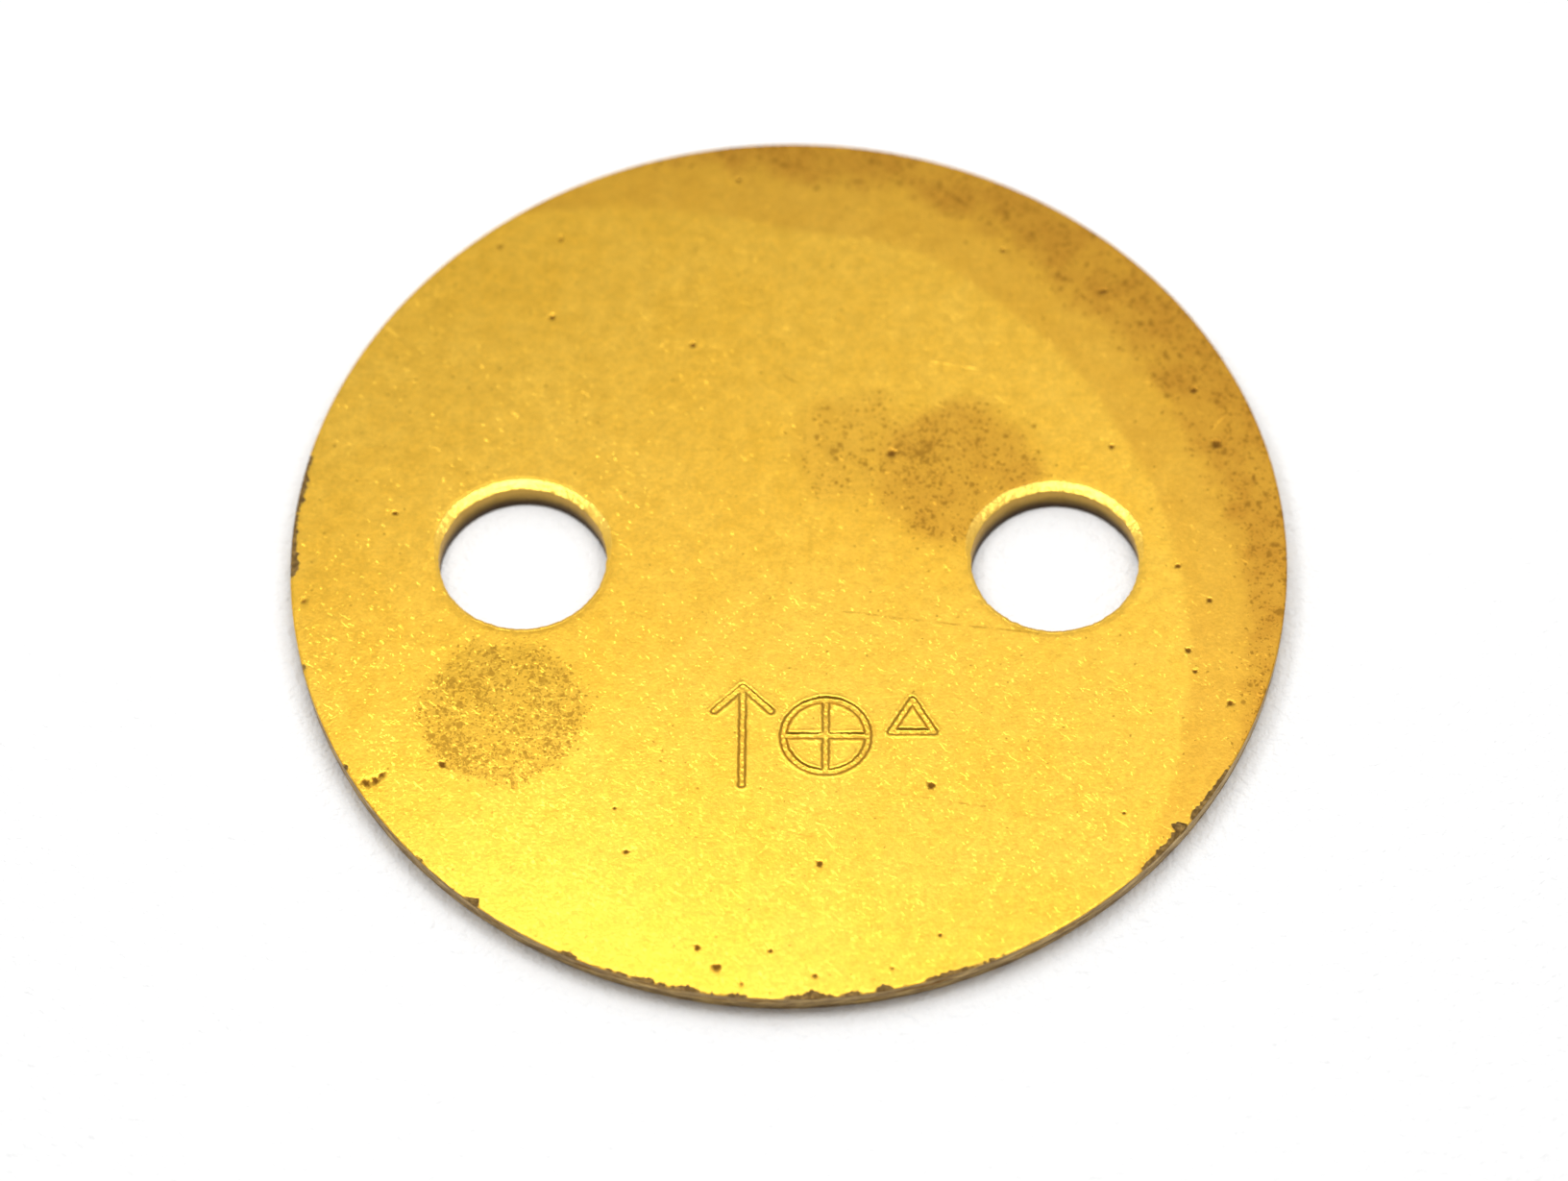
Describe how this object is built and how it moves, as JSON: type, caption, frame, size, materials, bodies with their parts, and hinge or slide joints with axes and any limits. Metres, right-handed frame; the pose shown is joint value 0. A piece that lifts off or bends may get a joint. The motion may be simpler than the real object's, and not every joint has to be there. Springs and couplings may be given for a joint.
{
  "type": "throttle plate",
  "caption": "Thin brass butterfly plate: a slightly oval disc with a leaning rim, screw holes along its spindle line and a struck index mark, for closing a round bore.",
  "frame": {"origin": "centre of the disc, halfway between its two flat faces and midway between the screw holes", "axes": "+Z out of the marked face; +X along the spindle line through both screw holes; +Y across the spindle, away from the mark"},
  "size_m": [0.032, 0.033, 0.001],
  "materials": {
    "brass": "satin, tarnished in patches, with a sheared rim"
  },
  "bodies": {
    "root": {"throttle_plate": "brass"}
  },
  "joints": []
}
